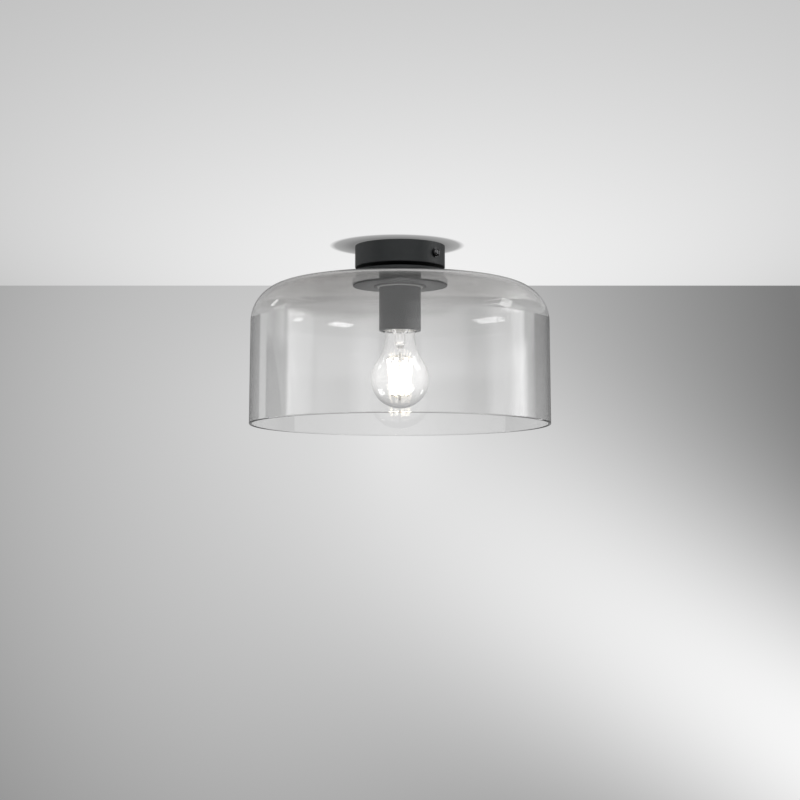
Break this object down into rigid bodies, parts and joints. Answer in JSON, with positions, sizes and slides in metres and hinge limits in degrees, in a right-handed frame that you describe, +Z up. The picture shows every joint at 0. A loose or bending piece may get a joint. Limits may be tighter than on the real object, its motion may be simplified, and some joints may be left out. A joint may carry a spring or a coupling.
{
  "type": "flush mount ceiling light",
  "caption": "Flush mount ceiling light: round charcoal canopy, open drum shade of smoked glass with a rounded shoulder, and a clear filament bulb in a charcoal lampholder.",
  "frame": {"origin": "centre of the cable hole in the ceiling plane, on the lamp's axis", "axes": "+Z up into the ceiling along the lamp's axis, +X along the ceiling bracket through the side screws"},
  "size_m": [0.2999, 0.3, 0.18],
  "materials": {
    "charcoal_coat": "fine matte powder coat",
    "dark_screw": "blackened, slightly shiny",
    "zinc_steel": "bright zinc",
    "smoked_glass": "clear smoke grey",
    "clear_glass": "clear",
    "gasket": "soft silicone",
    "ceramic_insert": "unglazed white",
    "brass_contact": "bright",
    "block_plastic": "milky moulded",
    "brown_wire": "insulation",
    "blue_wire": "insulation",
    "earth_wire": "green and yellow insulation",
    "cap_metal": "nickel plated",
    "cap_glass": "black glass insulator",
    "solder": "tinned",
    "driver_board": "white board",
    "filament": "lit phosphor",
    "frame_wire": "thin nickel wire"
  },
  "bodies": {
    "bracket": {"ceiling_bracket": "zinc_steel", "earth_washer": "zinc_steel", "earth_screw": "zinc_steel"},
    "lamp": {"canopy": "charcoal_coat", "canopy_bushes": "zinc_steel", "nipple": "zinc_steel", "nipple_nuts": "zinc_steel", "lock_washer": "zinc_steel", "earth_tag": "brass_contact", "spacer": "charcoal_coat", "disc": "charcoal_coat", "upper_gasket": "gasket", "holder_cover": "charcoal_coat", "holder_insert": "ceramic_insert", "screw_shell": "brass_contact", "centre_contact": "brass_contact", "holder_terminals": "brass_contact", "holder_screws": "zinc_steel", "terminal_block": "block_plastic", "terminal_barrels": "brass_contact", "clamp_screws": "zinc_steel", "block_screw": "zinc_steel", "live_wire": "brown_wire", "neutral_wire": "blue_wire", "earth_wire": "earth_wire"},
    "side_carrier_a": {"side_washer_a": "dark_screw"},
    "side_turner_a": {"side_screw_a": "dark_screw"},
    "side_carrier_b": {"side_washer_b": "dark_screw"},
    "side_turner_b": {"side_screw_b": "dark_screw"},
    "shade": {"glass_shade": "smoked_glass", "lower_gasket": "gasket", "glass_ring": "charcoal_coat"},
    "nut": {"ring_nut": "charcoal_coat"},
    "bulb_carrier": {"cap_contact": "solder"},
    "bulb": {"bulb_envelope": "clear_glass", "bulb_cap": "cap_metal", "cap_insulator": "cap_glass", "bulb_driver": "driver_board", "bulb_leads": "frame_wire", "bulb_stem": "clear_glass", "filaments": "filament", "filament_frame": "frame_wire"}
  },
  "joints": [
    {"name": "lamp_lower", "type": "slide", "parent": "bracket", "child": "lamp", "axis": [0, 0, -1], "range_m": [0, 0.06]},
    {"name": "side_screw_a_out", "type": "slide", "parent": "lamp", "child": "side_carrier_a", "axis": [1, 0, 0], "range_m": [0, 0.0035]},
    {"name": "side_screw_a_turn", "type": "hinge", "parent": "side_carrier_a", "child": "side_turner_a", "pos_m": [0.045, 0, -0.01125], "axis": [1, 0, 0], "range_deg": [0, 1800]},
    {"name": "side_screw_b_out", "type": "slide", "parent": "lamp", "child": "side_carrier_b", "axis": [-1, 0, 0], "range_m": [0, 0.0035]},
    {"name": "side_screw_b_turn", "type": "hinge", "parent": "side_carrier_b", "child": "side_turner_b", "pos_m": [-0.045, 0, -0.01125], "axis": [-1, 0, 0], "range_deg": [0, 1800]},
    {"name": "shade_lower", "type": "slide", "parent": "lamp", "child": "shade", "axis": [0, 0, -1], "range_m": [0, 0.0045]},
    {"name": "ring_nut_turn", "type": "hinge", "parent": "shade", "child": "nut", "pos_m": [0, 0, -0.041], "axis": [0, 0, -1], "range_deg": [0, 1080]},
    {"name": "bulb_lower", "type": "slide", "parent": "lamp", "child": "bulb_carrier", "axis": [0, 0, -1], "range_m": [0, 0.01815]},
    {"name": "bulb_turn", "type": "hinge", "parent": "bulb_carrier", "child": "bulb", "pos_m": [0, 0, -0.07], "axis": [0, 0, -1], "range_deg": [0, 1800]}
  ],
  "couplings": [
    {"joint": "side_screw_a_turn", "follows": "side_screw_a_out", "rad_per_m": 8976},
    {"joint": "side_screw_b_turn", "follows": "side_screw_b_out", "rad_per_m": 8976},
    {"joint": "ring_nut_turn", "follows": "shade_lower", "rad_per_m": 4188.8},
    {"joint": "bulb_lower", "follows": "bulb_turn", "m_per_rad": 0.00057757}
  ]
}
